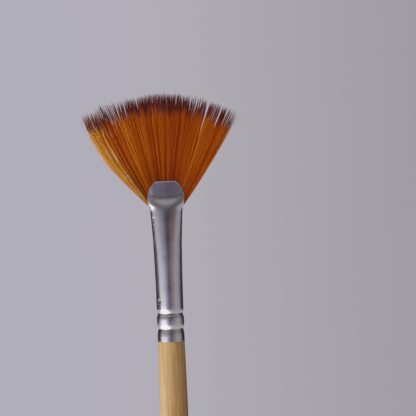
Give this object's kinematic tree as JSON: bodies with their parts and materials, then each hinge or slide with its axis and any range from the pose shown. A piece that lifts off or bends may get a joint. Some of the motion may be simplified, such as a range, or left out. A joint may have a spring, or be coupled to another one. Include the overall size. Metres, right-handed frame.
{
  "type": "fan brush",
  "caption": "Artist's fan paint brush: slim wooden handle, crimped aluminium ferrule pressed flat at the mouth, and a thin fan of flexible nylon filaments.",
  "frame": {"origin": "centre of the small flat on the butt end of the handle", "axes": "+Z along the handle towards the filaments, X across the fan, Y through its thin side; the front face looks towards -Y"},
  "size_m": [0.0372, 0.0072, 0.1956],
  "materials": {
    "handle_wood": "clear semi-gloss lacquer",
    "ferrule_aluminium": "polished",
    "nylon_filament": "glossy amber, dark burgundy at the tips",
    "cured_epoxy": "clear amber resin",
    "set_glue": "dull set glue",
    "waxed_thread": "waxed cotton"
  },
  "bodies": {
    "brush": {"handle": "handle_wood", "ferrule": "ferrule_aluminium", "handle_glue": "set_glue", "root_epoxy": "cured_epoxy", "binding_thread": "waxed_thread", "tuft_base": "nylon_filament"},
    "tuft": {"lock_01": "nylon_filament", "lock_02": "nylon_filament", "lock_03": "nylon_filament", "lock_04": "nylon_filament", "lock_05": "nylon_filament", "lock_06": "nylon_filament", "lock_07": "nylon_filament", "lock_08": "nylon_filament", "lock_09": "nylon_filament", "lock_10": "nylon_filament", "lock_11": "nylon_filament", "lock_12": "nylon_filament", "lock_13": "nylon_filament", "lock_14": "nylon_filament", "lock_15": "nylon_filament"}
  },
  "joints": [
    {"name": "tuft_flex", "type": "hinge", "parent": "brush", "child": "tuft", "pos_m": [0, 0, 0.177], "axis": [1, 0, 0], "range_deg": [-40, 40], "stiffness_Nm_per_rad": 0.002}
  ]
}
